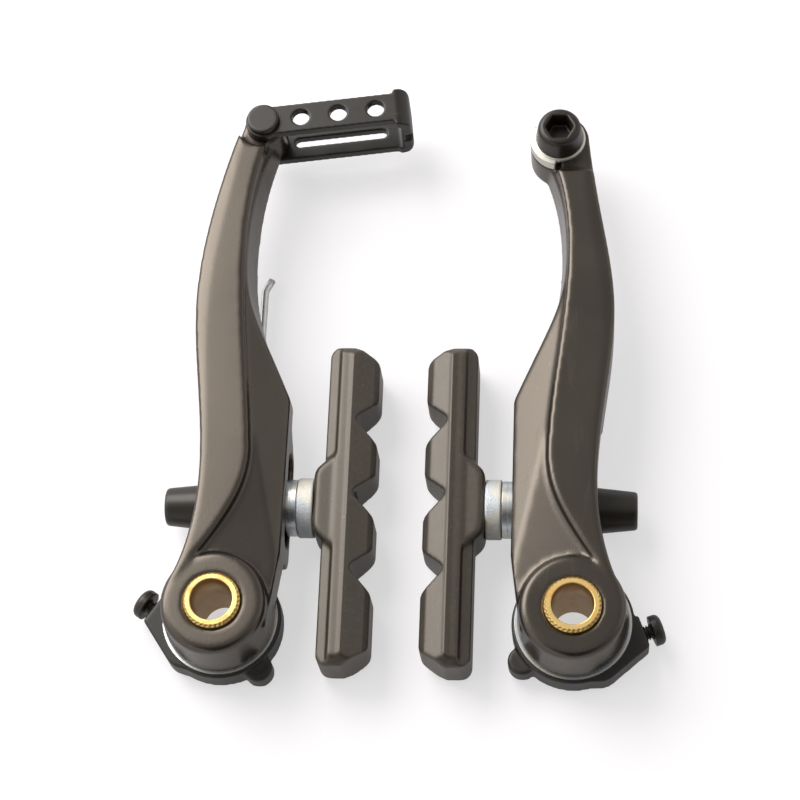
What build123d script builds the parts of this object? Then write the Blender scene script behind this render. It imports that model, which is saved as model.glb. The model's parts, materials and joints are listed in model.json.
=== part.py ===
from build123d import *
import math
import os

# Linear-pull rim brake: two mirrored arms on their frame bosses, lying on their backs.
# Frame: origin midway between the two boss axes on the boss seat plane, +Z out of the bosses,
# +Y from the pivots to the cable ends. Lengths in millimetres, angles in degrees.

# Layout of the pair
boss_spacing = 68.0
left_housing_turn = -7.0
right_housing_turn = 7.0
running_gap = 0.05
slide_gap = 0.10

# Frame-side pieces around one boss
bushing_bore = 8.0
bushing_wall = 1.4
bushing_length = 18.0
bushing_edge = 0.3
housing_radius = 11.8
housing_depth = 5.5
housing_floor = 0.9
washer_radius = 11.2
washer_thickness = 0.8

# Return spring
wire_diameter = 1.5
coil_radius = 7.3
coil_turns = 1.25
coil_pitch = 1.75
coil_floor = 1.75
spring_room = 0.35
peg_reach = 8.7
peg_length = 1.4
peg_bend = 1.6
peg_run_start = 1.0
leg_depth = -0.7
leg_start = 4.0
leg_start_bend = 6.0
leg_knee = (-4.9, 19.0)
left_leg_line = 3.5
right_leg_line = 1.3
leg_shoulder_height = 54.0
leg_tip_height = 73.0
hook_run = 2.6
leg_bend = 18.0
pin_height = 58.5
pin_radius = 1.2
pin_length = 7.2
pin_hold = 5.0
pin_gap = 0.15
hook_bend = 1.6
lobe_radius = 2.8
lobe_offset = 0.9
lobe_drop = 1.0
gate_room = 0.7

# Tension screw and its block on the housing
screw_angle = 152.7
screw_offset = 5.7
screw_face = 12.3
screw_out = 1.6
screw_diameter = 3.0
screw_length = 5.0
screw_head_diameter = 6.0
screw_head_height = 2.1
recess_span = 2.6
recess_width = 0.7
recess_depth = 0.9
block_half_width = 3.2
block_flank = (2.3, 12.8)
block_heel = (-4.0, 10.8)
block_round = 4.0

# Arm: hub drum, body and raised blade
drum_front_radius = 10.0
drum_rear_radius = 10.8
drum_length = 10.55
drum_round = 1.3
link_arm_length = 103.6
anchor_arm_length = 99.5
boss_reach = 3.5
body_front = 16.0
blade_front = 17.0
blade_root = 12.0
blade_strip_drop = 0.35
ledge = 0.35
inner_draft = 1.1
waist_height = 27.0
waist_outer = 4.5
throat_height = 10.0
throat_outer = 6.6
root_height = 3.8
root_outer = 8.9
belly_height = 63.0
belly_outer = 7.65
shoulder_drop = 15.5
shoulder_outer = 4.7
heel_height = 31.0
heel_inner = 5.1
sweep_high = (3.6, 22.5)
sweep_low = (-0.2, 15.0)
middle_inner = 2.0
neck_height = 75.0
neck_inner = 1.5
crown_drop = 10.5
crown_inner = 3.1
top_share = 0.6
strip_width = 2.1
strip_end = 0.4
wing_face = 11.9
wing_top = 43.5
flare_height = 64.0
flare_start = 2.6
flare_middle = (7.5, 53.1)
body_corner = (9.9, -4.0)
facet_lean = 0.5
facet_turn = 0.045
scoop_fall = 0.038
scoop_lean = 0.115
scoop_drop = 0.5

# Slotted wing and pad stud
wing_wall = 5.0
wing_bottom = 11.0
wing_rear = 0.2
wing_round = 3.0
wing_heel = 34.0
wing_shoulder = 11.0
stud_height = 23.1
stud_depth = 5.0
stud_diameter = 6.0
slot_clearance = 0.25
slot_down = 5.0
slot_up = 8.0
pocket_skin = 11.4
pocket_margin = 1.2

# Washers on the pad stud
flat_washer_radius = 5.6
flat_washer_thickness = 0.9
dome_radius = 5.6
dome_rim = 1.1
dome_sphere = 9.0
cup_radius = 5.9
cup_spacer_length = 3.2
cup_washer_length = 2.0
seat_gap = 0.12

# Pad nut
nut_root_radius = 4.95
nut_root_length = 4.0
nut_tip_radius = 3.7
nut_length = 16.0
nut_round = 0.6
hex_socket = 5.0
socket_depth = 5.0
socket_floor = 0.5
anchor_socket_depth = 4.0
thread_clearance = 0.02

# Brake pad
pad_length = 66.0
pad_offset = -0.3
pad_thickness = 10.0
pad_width = 12.9
pad_ridge = 4.9
pad_ridge_width = 12.3
bead_width = 0.8
bead_land = 0.4
pad_back_width = 8.8
pad_ledge = 2.2
pad_ledge_width = 9.8
pad_shoulder_width = 11.9
pad_front_width = 7.4
pad_front_edge = 1.2
pad_front_edge_width = 9.9
pad_end_bevel = 5.0
pad_end_drop = 3.2
pad_end_draft = 2.0
pad_back_round = 2.2
hump_height = 2.0
hump_half = 4.5
hump_foot = 11.8
hump_width = 11.4
hump_edge = 0.8
groove_pitch = 15.4
groove_offset = 1.6
groove_depth = 4.7
groove_above = 3.7
groove_below = 4.9
groove_round = 1.2
mouth_round = 1.8
stud_flange_radius = 4.6
stud_flange_thickness = 1.6
stud_embed = 6.2

# Cable ends of the arms
link_tongue_front = 14.8
anchor_tongue_front = 15.6
link_boss_radius = 4.2
anchor_boss_radius = 6.0
link_recess = 5.6
recess_room = 0.5
anchor_recess = 7.2

# Cable link of the left arm
sheet = 2.0
link_length = 30.3
link_ear_radius = 3.7
link_front_half = 3.2
link_rear_half = 3.7
link_end_half = 4.2
link_end_length = 3.4
link_end_round = 0.95
link_rest = 7.0
link_bend = 3.0
link_hole = 3.6
link_hole_pitch = 7.75
link_first_hole = 7.75
link_slot_width = 2.1
link_slot_start = 5.4
link_slot_end = 24.8
noodle_hole = 5.2
wire_slot = 2.4
rivet_diameter = 4.8
rivet_head_radius = 3.3
rivet_head_height = 1.2
rivet_tail_height = 1.0
rivet_round = 0.35

# Cable anchor of the right arm
anchor_diameter = 6.0
anchor_head_radius = 4.9
anchor_top_radius = 4.2
anchor_head_height = 4.8
anchor_round = 1.1
anchor_tip = 1.5
clamp_radius = 5.25
clamp_thickness = 1.0
clamp_edge = 0.3
lip_drop = 1.7
lip_width = 1.6
lip_low_angle = -82.0
lip_high_angle = 30.0
notch_spread = 10.0
cable_groove = 0.9

# Values worked out from the sizes above
big = 400.0
bush_radius = bushing_bore / 2 + bushing_wall
drum_rear = housing_depth + washer_thickness + running_gap
arm_bore = bush_radius + running_gap
wire_radius = wire_diameter / 2
stud_radius = stud_diameter / 2
slot_radius = stud_radius + slot_clearance
wing_outer = wing_face - wing_wall
tongue_rear = drum_rear
link_boss = (boss_reach, link_arm_length)
anchor_boss = (boss_reach, anchor_arm_length)
pad_seat = wing_face + flat_washer_thickness + dome_rim + seat_gap + cup_spacer_length
pad_back = pad_seat + hump_height
pad_face = pad_back + pad_thickness
nut_seat = wing_outer - dome_rim - seat_gap - cup_washer_length


def upright(x, y, z0, z1, radius):
    """A cylinder along Z between two levels."""
    bottom = Pos(x, y, z0)
    return bottom * Cylinder(radius, z1 - z0, align=(Align.CENTER, Align.CENTER, Align.MIN))


def along_stud(start, end, radius):
    """A cylinder on the stud axis between two distances from the pivot axis."""
    turned = Pos(start, stud_height, stud_depth) * Rot(0, 90, 0)
    return turned * Cylinder(radius, end - start, align=(Align.CENTER, Align.CENTER, Align.MIN))


def turned_on_stud(profile):
    """A solid of revolution about the stud axis from a closed profile of distance and radius."""
    solid = revolve(make_face(profile), Axis.X)
    return Pos(0, stud_height, stud_depth) * solid


def outer_edge(width_in, end_in, boss, boss_radius):
    """Outer outline of the arm, moved inwards by the strip at the belly and shoulder."""
    return Spline(
        (-root_outer + end_in, root_height + end_in),
        (-throat_outer + end_in, throat_height),
        (-waist_outer + end_in, waist_height),
        (-belly_outer + width_in, belly_height),
        (-shoulder_outer + width_in, boss[1] - shoulder_drop),
        (boss[0] - boss_radius + end_in, boss[1]),
    )


def blade_section(level, width_in, end_in, boss, boss_radius):
    """Outline of the raised blade at one level."""
    outer = outer_edge(width_in, end_in, boss, boss_radius)
    inner = Spline(
        (boss[0] + top_share * boss_radius, boss[1]),
        (crown_inner, boss[1] - crown_drop),
        (neck_inner, neck_height),
        (middle_inner, belly_height),
        (heel_inner, heel_height),
    )
    sweep_edge = Spline(
        (heel_inner, heel_height),
        sweep_high,
        sweep_low,
        outer @ 0,
        tangents=[(0, -1), (-1, -1)],
    )
    top = Line(outer @ 1, inner @ 0)
    return Pos(0, 0, level) * make_face([outer, top, inner, sweep_edge])


def body_section(level, widen, boss, boss_radius):
    """Outline of the arm's body at one level, with the flare and the wing on its inner side."""
    outer = outer_edge(0, 0, boss, boss_radius)
    inner = Spline(
        (boss[0] + top_share * boss_radius + ledge + widen, boss[1]),
        (crown_inner + ledge + widen, boss[1] - crown_drop),
        (neck_inner + ledge + widen, neck_height),
        (flare_start + ledge + widen, flare_height),
        flare_middle,
        (wing_face, wing_top),
    )
    top = Line(outer @ 1, inner @ 0)
    side = Line(inner @ 1, (wing_face, wing_bottom))
    corner = Line(side @ 1, body_corner)
    base = Line(corner @ 1, outer @ 0)
    return Pos(0, 0, level) * make_face([outer, top, inner, side, corner, base])


def half_space(origin, normal):
    """A block that fills the space on the normal's side of a plane."""
    plane = Plane(origin=origin, x_dir=(0, 1, 0), z_dir=normal)
    return plane * Box(big, big, big, align=(Align.CENTER, Align.CENTER, Align.MIN))


def make_wing(outline):
    """Slotted wall on the inner side that carries the pad stud."""
    profile = Polyline(
        (wing_bottom, wing_rear),
        (wing_heel, wing_rear),
        (wing_top, wing_shoulder),
        (wing_top, body_front),
        (wing_bottom, body_front),
        close=True,
    )
    side = make_face(profile)
    side = fillet(side.vertices().group_by(Axis.Y)[0], wing_round)
    wall = extrude(Plane.YZ.offset(wing_outer) * side, wing_wall)
    return wall & outline


def pin_place(leg_line):
    """Where the spring pin stands, so that the spring leg just clears it."""
    return (leg_line - wire_radius - pin_radius - pin_gap, pin_height)


def make_arm(boss, boss_radius, boss_front, hole_radius, recess, leg_line):
    """One forged arm in its own frame: pivot on the Z axis, inner side towards +X."""
    rear = body_section(tongue_rear, inner_draft, boss, boss_radius)
    front = body_section(body_front, 0, boss, boss_radius)
    body = loft([rear, front], ruled=True)
    column = extrude(body_section(wing_rear, 0, boss, boss_radius), body_front - wing_rear)
    wing = make_wing(column)
    facet = half_space((heel_inner, heel_height, body_front), (facet_lean, facet_turn, 1))
    scoop_origin = (heel_inner, heel_height, body_front - scoop_drop)
    scoop = half_space(scoop_origin, (scoop_lean, -scoop_fall, 1))
    pocket_low = stud_height - slot_down - cup_radius - pocket_margin
    pocket_high = stud_height + slot_up + cup_radius + pocket_margin
    pocket = Pos(wing_outer, pocket_low, pocket_skin) * Box(
        big, pocket_high - pocket_low, big, align=(Align.MAX, Align.MIN, Align.MAX)
    )
    body = body - pocket + wing - facet - scoop
    sections = [
        blade_section(blade_root, 0, 0, boss, boss_radius),
        blade_section(blade_front - blade_strip_drop, 0, 0, boss, boss_radius),
        blade_section(blade_front, strip_width, strip_end, boss, boss_radius),
    ]
    blade = loft(sections, ruled=True)
    drum = Pos(0, 0, drum_rear) * Cone(
        drum_rear_radius, drum_front_radius, drum_length, align=(Align.CENTER, Align.CENTER, Align.MIN)
    )
    drum = fillet(drum.edges().sort_by(Axis.Z)[-1:], drum_round)
    arm = body + blade + drum + upright(*boss, tongue_rear, boss_front, boss_radius)
    arm -= recess
    arm -= upright(*boss, -big, big, hole_radius)
    arm -= upright(0, 0, -big, big, arm_bore)
    arm -= upright(*pin_place(leg_line), -big, tongue_rear + pin_hold, pin_radius)
    slot_length = slot_down + slot_up + 2 * slot_radius
    slot_middle = stud_height + (slot_up - slot_down) / 2
    slot = Plane.YZ * Pos(slot_middle, stud_depth) * SlotOverall(slot_length, 2 * slot_radius)
    arm -= extrude(slot, big, both=True) & Pos(wing_face, 0, 0) * Box(4 * wing_wall, big, big)
    return arm


def make_bushing():
    tube = upright(0, 0, 0, bushing_length, bush_radius)
    tube -= upright(0, 0, -1, bushing_length + 1, bushing_bore / 2)
    rim = tube.edges().group_by(Axis.Z)[-1].sort_by(SortBy.RADIUS)[-1:]
    return chamfer(rim, bushing_edge)


def make_backing_washer():
    disc = upright(0, 0, housing_depth, housing_depth + washer_thickness, washer_radius)
    return disc - upright(0, 0, 0, big, bush_radius + running_gap)


def screw_frame(distance):
    """A frame on the tension screw's axis, its Z pointing out of the housing."""
    out = Vector(1, 0, 0).rotate(Axis.Z, screw_angle)
    aside = Vector(0, 1, 0).rotate(Axis.Z, screw_angle)
    origin = out * distance + aside * screw_offset + Vector(0, 0, housing_depth / 2)
    return Plane(origin=origin, x_dir=(0, 0, 1), z_dir=out)


def make_tension_screw():
    below = (Align.CENTER, Align.CENTER, Align.MAX)
    above = (Align.CENTER, Align.CENTER, Align.MIN)
    shank = Cylinder(screw_diameter / 2, screw_length, align=below)
    head = Cylinder(screw_head_diameter / 2, screw_head_height, align=above)
    head = fillet(head.edges().sort_by(Axis.Z)[-1:], screw_head_height / 2)
    for turn in (0, 90):
        cut = Box(recess_span, recess_width, 2 * recess_depth)
        head -= Pos(0, 0, screw_head_height) * Rot(0, 0, turn) * cut
    return screw_frame(screw_face + screw_out) * (shank + head)


def spring_wire(turn, leg_line):
    """Centre line of the return spring: the leg lies along the arm, the coil winds down to the peg."""
    rise = coil_turns * coil_pitch
    helix = Edge.make_helix(coil_pitch, rise, coil_radius, lefthand=True)
    helix = Pos(0, 0, coil_floor) * Rot(0, 0, 180 + 360 * coil_turns) * helix
    start, finish = helix @ 1, helix @ 0
    leave = start + (helix % 1) * leg_start
    hook = Vector(leg_line + hook_run / 2, leg_tip_height + hook_run, leg_depth)
    tip = Vector(leg_line, leg_tip_height, leg_depth)
    shoulder = Vector(leg_line, leg_shoulder_height, leg_depth)
    knee = Vector(*leg_knee, leg_depth)
    leg_points = [point.rotate(Axis.Z, turn) for point in (hook, tip, shoulder, knee)]
    leg = FilletPolyline(
        *leg_points,
        leave,
        start,
        radius=[hook_bend, leg_bend, leg_bend, leg_start_bend],
    )
    arrive = finish - (helix % 0) * peg_reach
    foot = Vector(arrive.X, arrive.Y, -peg_length)
    peg = FilletPolyline(finish, arrive, foot, radius=peg_bend)
    return Wire(leg.edges() + [helix] + peg.edges())


def make_spring(turn, leg_line):
    path = spring_wire(turn, leg_line)
    section = Plane(origin=path @ 0, z_dir=path % 0) * Circle(wire_radius)
    return sweep(section, path=path)


def make_housing(turn):
    """Spring housing: cup around the coil, peg lobe, screw block and a gate for the leg."""
    housing = upright(0, 0, 0, housing_depth, housing_radius)
    housing += upright(peg_reach, -coil_radius - lobe_offset, 0, housing_depth - lobe_drop, lobe_radius)
    outline = Polyline(
        (0, screw_offset - block_half_width),
        (screw_face, screw_offset - block_half_width),
        (screw_face, screw_offset + block_half_width),
        block_flank,
        block_heel,
        close=True,
    )
    block = make_face(outline)
    block = fillet(block.vertices().sort_by(Axis.Y)[-1:], block_round)
    housing += Rot(0, 0, screw_angle) * extrude(block, housing_depth)
    cavity = upright(0, 0, housing_floor, big, coil_radius + wire_radius + spring_room)
    cavity -= upright(0, 0, 0, big, coil_radius - wire_radius - spring_room)
    housing -= cavity
    housing -= upright(0, 0, -big, big, bush_radius + running_gap)
    screw_hole = screw_diameter / 2 + slide_gap
    bore = Cylinder(screw_hole, screw_face, align=(Align.CENTER, Align.CENTER, Align.MAX))
    housing -= screw_frame(screw_face) * bore
    room = wire_radius + spring_room
    peg_roof = coil_floor + room
    housing -= upright(peg_reach, -coil_radius, -big, peg_roof, room)
    run = Box(peg_reach - peg_run_start, 2 * room, big, align=(Align.MIN, Align.CENTER, Align.MAX))
    housing -= Pos(peg_run_start, -coil_radius, peg_roof) * run
    knee = Vector(*leg_knee, 0).rotate(Axis.Z, turn)
    leg_direction = math.degrees(math.atan2(knee.X + coil_radius, knee.Y))
    place = (Align.CENTER, Align.MIN, Align.CENTER)
    gate = Box(2 * (room + gate_room), big, 2 * housing_depth, align=place)
    return housing - Pos(-coil_radius, 0, 0) * Rot(0, 0, -leg_direction) * gate


def make_spring_pin(leg_line):
    return upright(*pin_place(leg_line), tongue_rear - pin_length, tongue_rear + pin_hold, pin_radius)


def make_stud():
    deep = pad_seat + stud_embed
    shank = along_stud(nut_seat - nut_length + socket_depth + 2 * socket_floor, deep, stud_radius)
    return shank + along_stud(deep, deep + stud_flange_thickness, stud_flange_radius)


def sphere_depth(radius):
    """Distance from the dome's sphere centre to its surface at a radius off the axis."""
    return math.sqrt(dome_sphere**2 - radius**2)


def dome_arc(rim, outwards, low, high):
    """Spherical profile between two radii, at full dome radius level with the rim."""
    def point(radius):
        return (rim + outwards * (sphere_depth(radius) - sphere_depth(dome_radius)), radius)

    return ThreePointArc(point(low), point((low + high) / 2), point(high))


def make_dome(face, outwards):
    """Dome washer: flat on the arm, its crown a sphere centred on the stud axis."""
    bore = stud_radius + slot_clearance
    arc = dome_arc(face + outwards * dome_rim, outwards, bore, dome_radius)
    sides = Polyline(arc @ 1, (face, dome_radius), (face, bore), arc @ 0)
    return turned_on_stud([arc, sides])


def make_cup(face, outwards, length):
    """Cup washer over a dome: a spherical seat on one side, flat on the other."""
    start = face + outwards * (dome_rim + seat_gap)
    end = start + outwards * length
    bore = stud_radius + thread_clearance
    arc = dome_arc(start, outwards, bore, dome_radius)
    sides = Polyline(arc @ 1, (start, cup_radius), (end, cup_radius), (end, bore), arc @ 0)
    return turned_on_stud([arc, sides])


def make_flat_washer():
    ring = along_stud(wing_face, wing_face + flat_washer_thickness, flat_washer_radius)
    return ring - along_stud(-big, big, stud_radius + slot_clearance)


def make_nut():
    end = nut_seat - nut_length
    root = nut_seat - nut_root_length
    corners = [
        (nut_seat, 0),
        (nut_seat, nut_root_radius),
        (root, nut_root_radius),
        (end, nut_tip_radius),
        (end, 0),
    ]
    nut = turned_on_stud(Polyline(corners, close=True))
    nut = fillet(nut.edges().sort_by(Axis.X)[:1], nut_round)
    hexagon = RegularPolygon(hex_socket / 2, 6, major_radius=False)
    socket = Plane(origin=(end, stud_height, stud_depth), z_dir=(1, 0, 0)) * hexagon
    nut -= extrude(socket, socket_depth)
    return nut - along_stud(end + socket_depth + socket_floor, big, stud_radius + thread_clearance)


def pad_profile():
    """Half-widths of the moulded block from its back to its braking face."""
    return [
        (pad_back, pad_back_width / 2),
        (pad_back + pad_ledge, pad_ledge_width / 2),
        (pad_back + pad_ledge, pad_shoulder_width / 2),
        (pad_back + pad_ridge - bead_width / 2, pad_ridge_width / 2),
        (pad_back + pad_ridge - bead_land / 2, pad_width / 2),
        (pad_back + pad_ridge + bead_land / 2, pad_width / 2),
        (pad_back + pad_ridge + bead_width / 2, pad_ridge_width / 2),
        (pad_face - pad_front_edge, pad_front_edge_width / 2),
        (pad_face, pad_front_width / 2),
    ]


def pad_side():
    """Side view of the pad: bevelled ends and three rounded grooves in the braking face."""
    high = pad_offset + pad_length / 2
    low = pad_offset - pad_length / 2
    bevel = pad_face - pad_end_bevel
    outline = Polyline(
        (0, low),
        (0, high),
        (bevel, high),
        (pad_face, high - pad_end_drop),
        (pad_face, low + pad_end_drop),
        (bevel, low),
        close=True,
    )
    side = make_face(outline)
    notch = make_face(
        Polyline(
            (pad_face - groove_depth, 0),
            (pad_face + groove_depth, -2 * groove_below),
            (pad_face + groove_depth, 2 * groove_above),
            close=True,
        )
    )
    notch = fillet(notch.vertices().sort_by(Axis.X)[:1], groove_round)
    for step in (-1, 0, 1):
        side -= Pos(0, groove_offset + step * groove_pitch) * notch
    return fillet(side.vertices().group_by(Axis.X)[-1], mouth_round)


def make_hump():
    """Raised seat on the pad's back that flows out of the ledge in two bends."""
    foot = pad_back + pad_ledge
    rise = Spline((foot, -hump_foot), (pad_seat, -hump_half), tangents=[(0, 1), (0, 1)])
    flat = Line((pad_seat, -hump_half), (pad_seat, hump_half))
    fall = Spline((pad_seat, hump_half), (foot, hump_foot), tangents=[(0, 1), (0, 1)])
    ridge = pad_back + pad_ridge
    inside = Polyline((foot, hump_foot), (ridge, hump_foot), (ridge, -hump_foot), (foot, -hump_foot))
    hump = extrude(make_face([rise, flat, fall, inside]), hump_width / 2, both=True)
    return chamfer(hump.edges().filter_by(Axis.Y).group_by(Axis.X)[0], hump_edge)


def make_pad(stud):
    corners = [(x, half) for x, half in pad_profile()]
    corners += [(x, -half) for x, half in reversed(pad_profile())]
    section = Plane.XZ.offset(pad_length / 2) * make_face(Polyline(corners, close=True))
    block = extrude(section, -pad_length)
    back_corners = block.edges().filter_by(Axis.Z).group_by(Axis.X)[0]
    block = fillet(back_corners, pad_back_round)
    plan = chamfer(Rectangle(pad_length, pad_width).vertices(), pad_end_draft)
    block &= extrude(Plane.YZ * plan, big)
    pad = (Pos(0, pad_offset, 0) * block + make_hump()) & extrude(pad_side(), pad_width, both=True)
    return Pos(0, stud_height, stud_depth) * pad - stud


def link_frame():
    """Frame on the rivet axis, its X along the cable link."""
    return Pos(*link_boss, 0) * Rot(0, 0, link_rest)


def link_plan(half_width):
    """Outline of one plate of the link: round ear, straight sides and a wider end."""
    start = link_length - link_end_length
    plan = Circle(link_ear_radius)
    plan += Rectangle(start, 2 * half_width, align=(Align.MIN, Align.CENTER))
    end = Pos(start, 0) * Rectangle(link_end_length, 2 * link_end_half, align=(Align.MIN, Align.CENTER))
    return plan + fillet(end.vertices(), link_end_round)


def make_link():
    low = tongue_rear - running_gap - sheet
    high = link_tongue_front + running_gap + sheet
    level = (low + high) / 2
    place = (Align.MAX, Align.CENTER)
    outer = Pos(link_length, level) * Rectangle(big, high - low, align=place)
    outer = fillet(outer.vertices().sort_by(Axis.X)[-2:], link_bend)
    inside = Pos(link_length - sheet, level) * Rectangle(2 * big, high - low - 2 * sheet, align=place)
    inside = fillet(inside.vertices().sort_by(Axis.X)[-2:], link_bend - sheet)
    strip = extrude(Plane.XZ * (outer - inside), link_end_half, both=True)
    plates = extrude(Pos(0, 0, low) * link_plan(link_rear_half), level - low)
    plates += extrude(Pos(0, 0, level) * link_plan(link_front_half), high - level)
    link = strip & plates
    for step in range(3):
        hole_at = link_first_hole + step * link_hole_pitch
        link -= upright(hole_at, 0, high - 2 * sheet, high + 1, link_hole / 2)
    slot_length = link_slot_end - link_slot_start
    slot_middle = (link_slot_start + link_slot_end) / 2
    slot = Pos(slot_middle, 0, low - 1) * SlotOverall(slot_length, link_slot_width)
    link -= extrude(slot, 2 * sheet + 1)
    seat = Plane(origin=(link_length + 1, 0, level), z_dir=(-1, 0, 0)) * Circle(noodle_hole / 2)
    link -= extrude(seat, 2 * sheet + 1)
    link -= Pos(link_length, 0, level) * Box(
        2 * link_bend, link_end_half + 1, wire_slot, align=(Align.CENTER, Align.MAX, Align.CENTER)
    )
    link -= upright(0, 0, -big, big, rivet_diameter / 2 + running_gap)
    return link_frame() * link


def make_rivet():
    low = tongue_rear - running_gap - sheet - running_gap
    high = link_tongue_front + running_gap + sheet + running_gap
    head = upright(*link_boss, high, high + rivet_head_height, rivet_head_radius)
    head = fillet(head.edges().sort_by(Axis.Z)[-1:], rivet_round)
    tail = upright(*link_boss, low - rivet_tail_height, low, rivet_head_radius)
    return head + upright(*link_boss, low, high, rivet_diameter / 2) + tail


def lip_sector(inner_radius, outer_radius, low, high, spread):
    """Part of a ring around the anchor, on the side of the arm that faces the other arm."""
    wedge = Polyline(
        (0, 0),
        Vector(big, 0).rotate(Axis.Z, lip_low_angle - spread),
        Vector(big, 0).rotate(Axis.Z, lip_high_angle + spread),
        close=True,
    )
    ring = (Circle(outer_radius) - Circle(inner_radius)) & make_face(wedge)
    return Pos(*anchor_boss, low) * extrude(ring, high - low)


def make_clamp_washer():
    """Washer that pinches the cable, with a lip that hooks over the edge of the arm."""
    top = anchor_tongue_front + clamp_thickness
    disc = upright(*anchor_boss, anchor_tongue_front, top, clamp_radius)
    disc = chamfer(disc.edges().sort_by(Axis.Z)[-1:], clamp_edge)
    lip_inner = anchor_boss_radius - lip_width
    disc += lip_sector(lip_inner, anchor_boss_radius, anchor_tongue_front - lip_drop, top - clamp_edge, 0)
    disc -= upright(*anchor_boss, -big, big, anchor_diameter / 2 + slide_gap)
    groove_height = anchor_arm_length + anchor_diameter / 2 + cable_groove
    groove = Pos(boss_reach, groove_height, anchor_tongue_front) * Rot(0, 90, 0)
    return disc - groove * Cylinder(cable_groove, big)


def make_anchor_bolt():
    low = anchor_tongue_front + clamp_thickness
    head = Pos(*anchor_boss, low) * Cone(
        anchor_head_radius,
        anchor_top_radius,
        anchor_head_height,
        align=(Align.CENTER, Align.CENTER, Align.MIN),
    )
    head = fillet(head.edges().sort_by(Axis.Z)[-1:], anchor_round)
    bolt = head + upright(*anchor_boss, tongue_rear - anchor_tip, low, anchor_diameter / 2)
    hexagon = RegularPolygon(hex_socket / 2, 6, major_radius=False)
    socket = Pos(*anchor_boss, low + anchor_head_height) * hexagon
    return bolt - extrude(socket, -anchor_socket_depth)


def make_link_arm():
    """Arm for the cable link: a round recess clears the link's ear."""
    recess = upright(*link_boss, link_tongue_front, big, link_recess)
    hole = rivet_diameter / 2
    return make_arm(link_boss, link_boss_radius, link_tongue_front, hole, recess, left_leg_line)


def make_anchor_arm():
    """Arm for the cable anchor: cut straight across below the clamp washer, notched for its lip."""
    recess = Pos(0, anchor_arm_length - anchor_recess, anchor_tongue_front) * Box(
        big, big, big, align=(Align.CENTER, Align.MIN, Align.MIN)
    )
    inner = anchor_boss_radius - lip_width - slide_gap
    outer = anchor_boss_radius + recess_room
    recess += lip_sector(inner, outer, anchor_tongue_front - lip_drop, big, notch_spread)
    hole = anchor_diameter / 2
    return make_arm(anchor_boss, anchor_boss_radius, anchor_tongue_front, hole, recess, right_leg_line)


def on_left(solid, turn=0):
    return Pos(-boss_spacing / 2, 0, 0) * Rot(0, 0, turn) * solid


def on_right(solid, turn=0):
    return mirror(on_left(solid, turn), about=Plane.YZ)


os.makedirs("parts", exist_ok=True)

stud = make_stud()
both_sides = {
    "pivot_bushing": make_bushing(),
    "backing_washer": make_backing_washer(),
    "brake_pad": make_pad(stud),
    "pad_stud": stud,
    "flat_washer": make_flat_washer(),
    "inner_dome_washer": make_dome(wing_face + flat_washer_thickness, 1),
    "cup_spacer": make_cup(wing_face + flat_washer_thickness, 1, cup_spacer_length),
    "outer_dome_washer": make_dome(wing_outer, -1),
    "outer_cup_washer": make_cup(wing_outer, -1, cup_washer_length),
    "pad_nut": make_nut(),
}
pieces = {
    "left_arm": on_left(make_link_arm()),
    "cable_link": on_left(make_link()),
    "link_rivet": on_left(make_rivet()),
    "right_arm": on_right(make_anchor_arm()),
    "anchor_bolt": on_right(make_anchor_bolt()),
    "clamp_washer": on_right(make_clamp_washer()),
}
for name, solid in both_sides.items():
    pieces["left_" + name] = on_left(solid)
    pieces["right_" + name] = on_right(solid)
sides = (
    ("left", on_left, left_housing_turn, left_leg_line),
    ("right", on_right, right_housing_turn, right_leg_line),
)
for side, place, turn, leg_line in sides:
    pieces[side + "_spring_housing"] = place(make_housing(-turn), turn)
    pieces[side + "_return_spring"] = place(make_spring(-turn, leg_line), turn)
    pieces[side + "_tension_screw"] = place(make_tension_screw(), turn)
    pieces[side + "_spring_pin"] = place(make_spring_pin(leg_line))

for name, solid in pieces.items():
    export_step(solid, "parts/" + name + ".step")
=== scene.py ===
import json
import math

import bmesh
import bpy
from mathutils import Matrix, Vector


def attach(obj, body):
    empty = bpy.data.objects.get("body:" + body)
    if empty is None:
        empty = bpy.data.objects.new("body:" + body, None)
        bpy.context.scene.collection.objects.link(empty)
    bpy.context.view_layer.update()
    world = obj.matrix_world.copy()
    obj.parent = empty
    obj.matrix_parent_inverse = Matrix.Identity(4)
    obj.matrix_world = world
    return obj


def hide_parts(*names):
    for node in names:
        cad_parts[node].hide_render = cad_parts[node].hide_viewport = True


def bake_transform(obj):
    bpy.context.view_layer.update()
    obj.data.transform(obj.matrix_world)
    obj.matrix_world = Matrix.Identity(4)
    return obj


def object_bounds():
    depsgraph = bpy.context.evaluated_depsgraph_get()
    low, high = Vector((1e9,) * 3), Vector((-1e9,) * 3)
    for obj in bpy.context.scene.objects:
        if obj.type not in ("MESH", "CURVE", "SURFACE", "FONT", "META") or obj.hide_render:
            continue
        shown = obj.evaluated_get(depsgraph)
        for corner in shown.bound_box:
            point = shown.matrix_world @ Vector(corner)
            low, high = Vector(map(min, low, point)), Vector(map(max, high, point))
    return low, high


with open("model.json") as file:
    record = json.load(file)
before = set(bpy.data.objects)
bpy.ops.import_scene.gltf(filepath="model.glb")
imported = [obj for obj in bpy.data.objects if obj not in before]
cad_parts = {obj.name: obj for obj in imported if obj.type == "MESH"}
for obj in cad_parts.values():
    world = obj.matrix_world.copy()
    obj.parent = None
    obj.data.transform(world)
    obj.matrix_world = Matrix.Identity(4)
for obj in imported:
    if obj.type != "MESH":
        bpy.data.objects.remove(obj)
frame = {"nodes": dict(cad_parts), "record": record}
cad_low, cad_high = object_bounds()
nodes = frame["nodes"]
sides = ("left", "right")

# Lengths are given in millimetres and turned into metres where a mesh or a socket is made.
MM = 0.001

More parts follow.
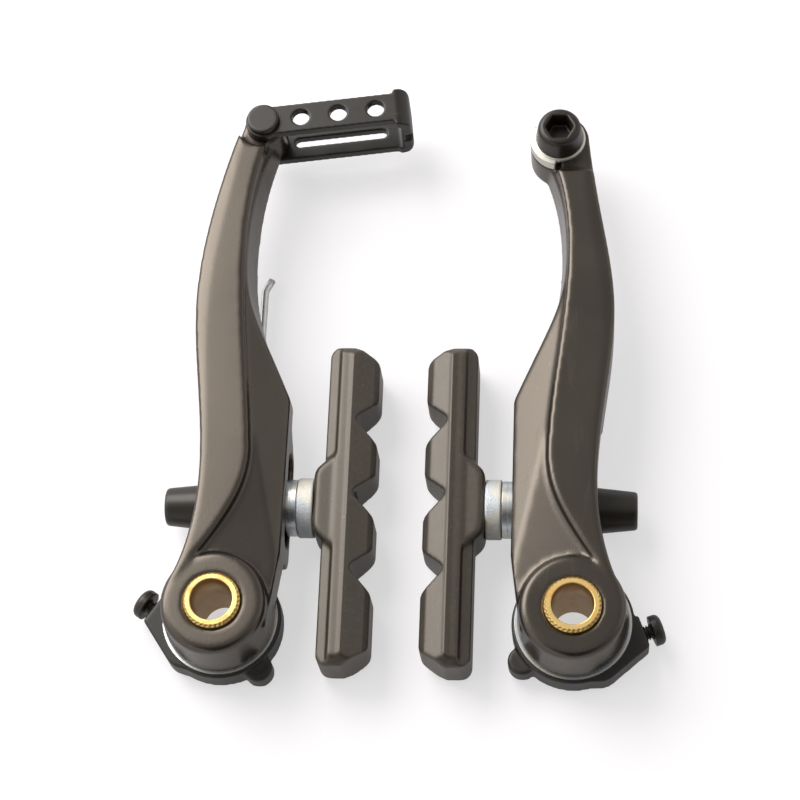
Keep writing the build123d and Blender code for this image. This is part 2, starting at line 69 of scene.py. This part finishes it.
# Places and sizes shared with the solids
half_spacing = 34.0
bush_bore = 4.0
bush_radius = 5.4
bush_length = 18.0
screw_face = 13.9
screw_offset = 5.7
screw_level = 2.75
screw_angles = {"left": 145.7, "right": 159.7}


class Value:
    """An output socket of a finish; arithmetic on it adds Math nodes."""

    def __init__(self, finish, socket):
        self.finish = finish
        self.socket = socket

    def math(self, operation, first, second):
        return self.finish.node("Math", {"operation": operation}, {0: first, 1: second})

    def __add__(self, other):
        return self.math("ADD", self, other)

    def __radd__(self, other):
        return self.math("ADD", other, self)

    def __sub__(self, other):
        return self.math("SUBTRACT", self, other)

    def __rsub__(self, other):
        return self.math("SUBTRACT", other, self)

    def __mul__(self, other):
        return self.math("MULTIPLY", self, other)

    def __rmul__(self, other):
        return self.math("MULTIPLY", other, self)

    def __truediv__(self, other):
        return self.math("DIVIDE", self, other)


class Nodes:
    """A node tree that is written with short calls."""

    def __init__(self, tree, shader):
        self.tree = tree
        self.shader = tree.nodes[shader]

    def node(self, kind, settings=(), inputs=(), output=0):
        made = self.tree.nodes.new("ShaderNode" + kind)
        for key, setting in dict(settings).items():
            setattr(made, key, setting)
        for key, value in dict(inputs).items():
            self.feed(made.inputs[key], value)
        return Value(self, made.outputs[output])

    def feed(self, socket, value):
        if isinstance(value, Value):
            self.tree.links.new(value.socket, socket)
        else:
            socket.default_value = value

    def set(self, **sockets):
        for key, value in sockets.items():
            self.feed(self.shader.inputs[key.replace("_", " ")], value)

    def step(self, value, low, high):
        """0 below low, 1 above high, smooth between."""
        settings = {"interpolation_type": "SMOOTHSTEP"}
        inputs = {"Value": value, "From Min": low, "From Max": high}
        return self.node("MapRange", settings, inputs)

    def parts(self, vector):
        """The three components of a vector."""
        first = self.node("SeparateXYZ", {}, {"Vector": vector})
        return [Value(self, output) for output in first.socket.node.outputs]

    def mix(self, share, first, second):
        return self.node("Mix", {"data_type": "RGBA"}, {0: share, 6: first, 7: second}, 2)


class Finish(Nodes):
    """A surface finish built from procedural nodes."""

    def __init__(self, name):
        self.material = bpy.data.materials.new(name)
        self.material.use_nodes = True
        super().__init__(self.material.node_tree, "Principled BSDF")
        self.place = self.node("TexCoord", output="Object")

    def noise(self, grain, detail=2.0, stretch=(1, 1, 1)):
        """Noise with spots of about the grain's size, longer where the stretch is below 1."""
        place = self.node("Mapping", {}, {"Vector": self.place, "Scale": stretch})
        inputs = {"Vector": place, "Scale": 1 / (grain * MM), "Detail": detail}
        return self.node("TexNoise", {}, inputs)

    def bump(self, height, depth, under=None):
        inputs = {"Height": height, "Distance": depth * MM}
        if under is not None:
            inputs["Normal"] = under
        return self.node("Bump", {}, inputs)

    def rounded(self, radius):
        """Normals that round off sharp edges."""
        return self.node("Bevel", {"samples": 6}, {"Radius": radius * MM})

    def edges(self, radius, low, high):
        """Mask of the edges within a radius, from how far their rounded normals turn."""
        plain = self.node("NewGeometry", output="Normal")
        inputs = {0: self.rounded(radius), 1: plain}
        along = self.node("VectorMath", {"operation": "DOT_PRODUCT"}, inputs, "Value")
        return self.step(1 - along, low, high)


def grey(value, warm=0.0):
    """A grey, or with warm above 0 a brownish grey."""
    return (value * (1 + warm), value, value * (1 - warm), 1)


def arm_paint():
    """Satin bronze-grey coating on forged metal, with dull patches, specks and rubbed edges."""
    finish = Finish("arm_paint")
    cloud = finish.noise(15, 3)
    peel = finish.noise(0.45, 2)
    specks = finish.step(finish.noise(0.7, 1), 0.74, 0.82)
    rubs = finish.step(finish.noise(2.2, 4, (1.0, 0.22, 1.0)), 0.56, 0.78)
    worn = finish.edges(0.5, 0.02, 0.25)
    colour = finish.mix(cloud, grey(0.070, 0.15), grey(0.094, 0.16))
    colour = finish.mix(worn * 0.2, colour, grey(0.17, 0.10))
    colour = finish.mix(specks * 0.3, colour, grey(0.19, 0.08))
    finish.set(Base_Color=colour, Metallic=0.88, Roughness=0.22 + 0.07 * cloud + 0.07 * rubs)
    finish.set(Normal=finish.bump(peel, 0.004, finish.rounded(0.25)))
    return finish


def brass():
    """Turned brass, with fine tool rings and stains, and a darker brown painted inside the bore as
    shade.
    """
    finish = Finish("bushing_brass")
    stain = finish.step(finish.noise(2.4, 3), 0.42, 0.72)
    rings = finish.noise(0.25, 2, (0.05, 0.05, 1.0))
    across, along, _ = finish.parts(finish.place)
    across = finish.node("Math", {"operation": "ABSOLUTE"}, {0: across}) - half_spacing * MM
    from_axis = finish.node("Math", {"operation": "SQRT"}, {0: across * across + along * along})
    outside = finish.step(from_axis, (bush_bore + 0.02) * MM, (bush_bore + 0.12) * MM)
    colour = finish.mix(stain, (0.93, 0.67, 0.26, 1), (0.74, 0.46, 0.15, 1))
    # Inside the bore the brass is painted a darker brown as shade, not its own colour
    colour = finish.mix(outside, (0.55, 0.35, 0.14, 1), colour)
    finish.set(Base_Color=colour, Metallic=0.9, Roughness=0.27 + 0.12 * stain + 0.08 * rings)
    finish.set(Normal=finish.bump(rings, 0.0015))
    return finish


def zinc(name, tone, yellow, grain, depth, rough, metal=1.0):
    """Zinc plate, with a faint blue and yellow tint where its film varies."""
    finish = Finish(name)
    film = finish.noise(4.0, 3)
    dull = finish.noise(0.9, 3)
    cold = (tone * 0.93, tone * 0.98, tone * 1.02, 1)
    cream = (tone * 1.04, tone, tone * 0.90, 1)
    colour = finish.mix(finish.step(film + yellow, 0.42, 0.62), cold, cream)
    colour = finish.mix(finish.step(dull, 0.58, 0.8) * 0.3, colour, grey(tone * 0.6))
    finish.set(Base_Color=colour, Metallic=metal, Roughness=rough + 0.12 * dull)
    finish.set(Normal=finish.bump(finish.noise(grain, 3), depth, finish.rounded(0.12)))
    return finish


def black_metal(name, base, wear, rough):
    """Blackened steel, brighter along its worn edges, with dull handling marks."""
    finish = Finish(name)
    dull = finish.noise(3.0, 4)
    scratch = finish.step(finish.noise(0.7, 4, (0.12, 1.0, 1.0)), 0.66, 0.78)
    patchy = finish.step(finish.noise(1.1, 3), 0.42, 0.66)
    worn = finish.edges(0.22, 0.04, 0.30) * patchy
    colour = finish.mix(dull, grey(base, 0.30), grey(base * 2.2, 0.34))
    colour = finish.mix(scratch * 0.3, colour, grey(0.08, 0.16))
    colour = finish.mix(worn * wear, colour, grey(0.28, 0.10))
    finish.set(Base_Color=colour, Metallic=worn * wear * 0.8, Roughness=rough + 0.12 * dull)
    finish.set(Normal=finish.bump(finish.noise(0.3, 2), 0.004, finish.rounded(0.18)))
    return finish


def moulded_plastic():
    """Black moulded plastic, slightly grained, with pale scuffs."""
    finish = Finish("housing_plastic")
    cloud = finish.noise(5, 3)
    scuff = finish.step(finish.noise(1.4, 4, (0.4, 1.0, 1.0)), 0.64, 0.8)
    colour = finish.mix(cloud, grey(0.009, 0.25), grey(0.018, 0.28))
    colour = finish.mix(scuff * 0.4, colour, grey(0.055, 0.18))
    finish.set(Base_Color=colour, Roughness=0.36 + 0.14 * cloud + 0.1 * scuff)
    finish.set(Normal=finish.bump(finish.noise(0.35, 3), 0.010, finish.rounded(0.3)))
    return finish


def pad_rubber():
    """Moulded rubber, satin brown grey with a fine pale grit and rubbed edges."""
    finish = Finish("pad_rubber")
    cloud = finish.noise(9, 4)
    mottle = finish.noise(0.8, 3)
    grit = finish.noise(0.22, 3)
    specks = finish.step(finish.noise(0.42, 1), 0.70, 0.80)
    worn = finish.edges(0.45, 0.02, 0.22)
    colour = finish.mix(cloud, grey(0.016, 0.30), grey(0.028, 0.30))
    colour = finish.mix(finish.step(mottle, 0.46, 0.72) * 0.4, colour, grey(0.046, 0.24))
    colour = finish.mix(worn * 0.5, colour, grey(0.11, 0.16))
    colour = finish.mix(specks * 0.5, colour, grey(0.16, 0.12))
    finish.set(Base_Color=colour, Roughness=0.34 + 0.12 * mottle + 0.05 * cloud)
    finish.set(Specular_IOR_Level=1.0, Specular_Tint=(1.0, 0.92, 0.82, 1))
    finish.set(Normal=finish.bump(grit + 0.6 * mottle, 0.015))
    return finish


def spring_wire():
    """Drawn spring wire, bright with lines along it."""
    finish = Finish("spring_steel")
    dull = finish.noise(2.0, 3)
    lines = finish.noise(0.15, 2, (1.0, 0.05, 1.0))
    finish.set(Base_Color=finish.mix(dull, grey(0.60), grey(0.78)), Metallic=1.0)
    finish.set(Roughness=0.22 + 0.18 * dull, Normal=finish.bump(lines, 0.004))
    return finish


finishes = {
    "arm_paint": arm_paint(),
    "bushing_brass": brass(),
    "zinc_steel": zinc("zinc_steel", 0.72, -0.04, 0.5, 0.002, 0.26),
    "yellow_zinc": zinc("yellow_zinc", 0.66, 0.4, 0.5, 0.004, 0.46),
    "spacer_metal": zinc("spacer_metal", 0.74, 0.0, 0.20, 0.12, 0.52, 0.6),
    "housing_plastic": moulded_plastic(),
    "spring_steel": spring_wire(),
    "black_steel": black_metal("black_steel", 0.009, 0.6, 0.28),
    "link_steel": black_metal("link_steel", 0.007, 0.9, 0.30),
    "pad_rubber": pad_rubber(),
}
slot_of = {part["node"]: part["material_slot"] for part in frame["record"]["subparts"]}
body_of = {
    node: body
    for body, members in frame["record"]["behaviour"]["bodies"].items()
    for node in members
}
# The clamp washer is plated like the other zinc pieces, but yellower and duller
finish_of = {**slot_of, "clamp_washer": "yellow_zinc"}
for name, piece in nodes.items():
    piece.data.materials.clear()
    piece.data.materials.append(finishes[finish_of[name]].material)


def new_piece(name, shape, slot):
    """An object from a finished bmesh in metres, with its finish."""
    bmesh.ops.recalc_face_normals(shape, faces=shape.faces)
    mesh = bpy.data.meshes.new(name)
    for face in shape.faces:
        face.smooth = True
    shape.to_mesh(mesh)
    shape.free()
    mesh.materials.append(finishes[slot].material)
    piece = bpy.data.objects.new(name, mesh)
    bpy.context.scene.collection.objects.link(piece)
    return piece


def copied(node):
    """A merged copy of a solid's mesh, in millimetres."""
    weld_metres = 1e-7
    shape = bmesh.new()
    shape.from_mesh(nodes[node].data)
    bmesh.ops.remove_doubles(shape, verts=shape.verts, dist=weld_metres)
    bmesh.ops.scale(shape, vec=(1 / MM,) * 3, verts=shape.verts)
    return shape


def softened(node, grid, passes):
    """A copy of a solid with its edges rounded off, as forging or moulding leaves them."""
    axes = {"use_axis_x": True, "use_axis_y": True, "use_axis_z": True}
    shape = copied(node)
    mesh = bpy.data.meshes.new("grid")
    shape.to_mesh(mesh)
    shape.free()
    source = bpy.data.objects.new("grid", mesh)
    bpy.context.scene.collection.objects.link(source)
    remesh = source.modifiers.new("grid", "REMESH")
    remesh.mode = "VOXEL"
    remesh.voxel_size = grid
    bpy.context.view_layer.update()
    graph = bpy.context.evaluated_depsgraph_get()
    made = bpy.data.meshes.new_from_object(source.evaluated_get(graph))
    bpy.data.objects.remove(source)
    shape = bmesh.new()
    shape.from_mesh(made)
    bpy.data.meshes.remove(made)
    for _ in range(passes):
        bmesh.ops.smooth_vert(shape, verts=shape.verts, factor=0.5, **axes)
    return shape


def stand_for(node, shape, name):
    """Puts a shape in millimetres in the place of a solid, on its body."""
    bmesh.ops.scale(shape, vec=(MM,) * 3, verts=shape.verts)
    piece = new_piece(name, shape, slot_of[node])
    piece.data.materials[0] = finishes[finish_of[node]].material
    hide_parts(node)
    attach(piece, body_of[node])
    return piece


def lathe(profile, steps):
    """A solid of revolution about Z from a closed profile of radius and height."""
    shape = bmesh.new()
    ring = [shape.verts.new((radius, 0, height)) for radius, height in profile]
    edges = [shape.edges.new((a, b)) for a, b in zip(ring, ring[1:] + ring[:1])]
    sweep = {"cent": (0, 0, 0), "axis": (0, 0, 1), "angle": 2 * math.pi}
    bmesh.ops.spin(shape, geom=ring + edges, **sweep, steps=steps, use_merge=True)
    return shape


# Forged, moulded and pressed pieces with rounded edges: grid in millimetres, smoothing passes
soft_pieces = {
    "cable_link": (0.20, 2),
    "link_rivet": (0.18, 2),
    "anchor_bolt": (0.18, 3),
    "clamp_washer": (0.14, 3),
}
for side in sides:
    soft_pieces[side + "_arm"] = (0.33, 8)
    soft_pieces[side + "_brake_pad"] = (0.30, 4)
    soft_pieces[side + "_spring_housing"] = (0.30, 3)
    soft_pieces[side + "_pad_nut"] = (0.25, 3)
    soft_pieces[side + "_cup_spacer"] = (0.18, 4)
for name, (grid, passes) in soft_pieces.items():
    stand_for(name, softened(name, grid, passes), name + "_rounded")

# Pivot bushings with a knurled rim; the profile gives radius and height
rim_height = 0.8
rim_base = bush_length - rim_height
bush_profile = [
    (bush_bore, 0.0),
    (bush_radius, 0.0),
    (bush_radius, rim_base),
    (bush_radius, bush_length - 0.50),
    (bush_radius - 0.16, bush_length - 0.22),
    (bush_radius - 0.44, bush_length),
    (bush_radius - 0.50, bush_length),
    (bush_bore + 0.24, bush_length),
    (bush_bore + 0.18, bush_length),
    (bush_bore + 0.05, bush_length - 0.06),
    (bush_bore, bush_length - 0.20),
]
knurl_teeth = 36
knurl_share = 0.06  # of the radius, between a tooth and a groove
knurl_inner = bush_radius - 0.2
knurl_base = rim_base + 0.1
flat_inner = bush_radius - 0.5
for side in sides:
    bush = lathe(bush_profile, 2 * knurl_teeth)
    for vert in bush.verts:
        turn = math.atan2(vert.co.y, vert.co.x) / (2 * math.pi) * 2 * knurl_teeth
        outside = math.hypot(vert.co.x, vert.co.y) > knurl_inner
        if outside and vert.co.z > knurl_base and round(turn) % 2:
            vert.co.xy *= 1 - knurl_share
    place = (-half_spacing if side == "left" else half_spacing, 0, 0)
    bmesh.ops.translate(bush, vec=place, verts=bush.verts)
    piece = stand_for(side + "_pivot_bushing", bush, side + "_bush_knurled")
    for face in piece.data.polygons:
        from_axis = math.hypot(face.center.x - place[0] * MM, face.center.y)
        on_rim = face.center.z > rim_base * MM and from_axis > flat_inner * MM
        face.use_smooth = not on_rim

# Tension screws: the solid's head with a short stub, and a shank with thread rings
head_grid = 0.14
head_passes = 1
stub = 0.3
thread_outer = 1.5
thread_core = 1.18
thread_pitch = 0.5
thread_turns = 10
thread_steps = 40
thread_ring = ((thread_core, 0.10), (thread_outer, 0.22), (thread_outer, 0.28), (thread_core, 0.40))
shank_top = 0.05
shank_end = -thread_turns * thread_pitch
shank_taper = 0.2
shank_weld = 1e-4
for side in sides:
    node = side + "_tension_screw"
    angle = math.radians(screw_angles[side])
    out = Vector((math.cos(angle), math.sin(angle), 0))
    aside = Vector((-math.sin(angle), math.cos(angle), 0))
    middle = out * screw_face + aside * screw_offset + Vector((-half_spacing, 0, screw_level))
    if side == "right":
        out.x, middle.x = -out.x, -middle.x
    head = softened(node, head_grid, head_passes)
    geometry = head.verts[:] + head.edges[:] + head.faces[:]
    below = {"plane_co": middle - out * stub, "plane_no": out}
    cut = bmesh.ops.bisect_plane(head, geom=geometry, **below, clear_inner=True)
    rim = [edge for edge in cut["geom_cut"] if isinstance(edge, bmesh.types.BMEdge)]
    bmesh.ops.holes_fill(head, edges=rim)
    stand_for(node, head, side + "_screw_head")
    profile = [(0.0, shank_top), (thread_core, shank_top)]
    for turn in range(thread_turns):
        level = -turn * thread_pitch
        profile += [(radius, level - drop) for radius, drop in thread_ring]
    profile += [(thread_core - shank_taper, shank_end), (0.0, shank_end)]
    shank = lathe(profile, thread_steps)
    bmesh.ops.remove_doubles(shank, verts=shank.verts, dist=shank_weld)
    turned = out.to_track_quat("Z", "Y").to_matrix()
    bmesh.ops.rotate(shank, cent=(0, 0, 0), matrix=turned, verts=shank.verts)
    bmesh.ops.translate(shank, vec=middle, verts=shank.verts)
    bmesh.ops.scale(shank, vec=(MM,) * 3, verts=shank.verts)
    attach(new_piece(side + "_screw_thread", shank, "black_steel"), body_of[node])

# Return springs: a merged copy of each wire, kept in its place and not attached to a body
for side in sides:
    node = side + "_return_spring"
    wire = copied(node)
    bmesh.ops.scale(wire, vec=(MM,) * 3, verts=wire.verts)
    spring = new_piece(side + "_spring_wire", wire, slot_of[node])
    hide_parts(node)
    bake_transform(spring)

# Floor: a pale table that the camera sees as white, and reflections by half as much
floor_half = 3.0
mirrored_share = 0.5
floor_finish = Finish("white_table")
floor_finish.set(Base_Color=(0.50, 0.48, 0.50, 1), Roughness=0.6, Specular_IOR_Level=0.1)
seen = floor_finish.node("LightPath", output="Is Camera Ray")
for ray in ("Is Glossy Ray", "Is Transmission Ray"):
    seen = seen + mirrored_share * floor_finish.node("LightPath", output=ray)
lift = floor_finish.mix(seen, (0, 0, 0, 1), (1, 1, 1, 1))
floor_finish.set(Emission_Color=lift, Emission_Strength=0.57)
floor_shape = bmesh.new()
bmesh.ops.create_grid(floor_shape, x_segments=1, y_segments=1, size=floor_half)
floor_mesh = bpy.data.meshes.new("table_top")
floor_shape.to_mesh(floor_mesh)
floor_shape.free()
floor_mesh.transform(Matrix.Translation((0, 0, cad_low.z)))
floor_mesh.materials.append(floor_finish.material)
floor = bpy.data.objects.new("table_top", floor_mesh)
bpy.context.scene.collection.objects.link(floor)

# Light: one wide panel above, behind and to the left; sizes in metres
panel_data = bpy.data.lights.new("ceiling_panel", "AREA")
panel_data.shape = "RECTANGLE"
panel_data.size = 0.96
panel_data.size_y = 0.92
panel_data.energy = 14.7
panel_data.color = (1.0, 0.98, 0.95)
panel = bpy.data.objects.new("ceiling_panel", panel_data)
panel.location = (-0.66, 0.66, 0.75)
bpy.context.scene.collection.objects.link(panel)

# Room: a pale ceiling and side walls, dark towards the front
dark_level = 0.03
ceiling_level = 0.42
left_level = 0.9
right_level = 0.4
world = bpy.data.worlds.new("room")
bpy.context.scene.world = world
world.use_nodes = True
room = Nodes(world.node_tree, "Background")
across, along, height = room.parts(room.node("TexCoord", output="Generated"))
ceiling = room.step(along / height, -0.6, -0.05)
left_wall = room.step(across / height, -0.25, -0.9)
right_wall = room.step(across / height, 0.5, 1.2)
walls = left_level * left_wall + right_level * right_wall
room.set(Color=(1, 0.99, 0.98, 1), Strength=dark_level + ceiling_level * ceiling + walls)

# Camera: focal length in pixels of the 800 pixel frame, place in millimetres, turns in radians
focal = 2300.0
frame_width = 800.0
camera_place = Vector((38.32, -131.618, 427.805))
yaw = 0.0854381
pitch = 0.3983945
roll = 0.0052102
ahead = math.cos(yaw)
view = Vector((-math.sin(yaw), ahead * math.sin(pitch), -ahead * math.cos(pitch)))
level_right = view.cross(Vector((0, math.cos(pitch), math.sin(pitch)))).normalized()
level_up = level_right.cross(view)
right = level_right * math.cos(roll) + level_up * math.sin(roll)
up = level_up * math.cos(roll) - level_right * math.sin(roll)
camera_data = bpy.data.cameras.new("camera")
camera_data.sensor_width = 36.0
camera_data.lens = focal / frame_width * camera_data.sensor_width
camera_data.clip_start = 0.01
camera = bpy.data.objects.new("camera", camera_data)
turn = Matrix((right, up, -view)).transposed().to_4x4()
camera.matrix_world = Matrix.Translation(camera_place * MM) @ turn
bpy.context.scene.collection.objects.link(camera)
bpy.context.scene.camera = camera
bpy.context.scene.view_settings.view_transform = "Standard"
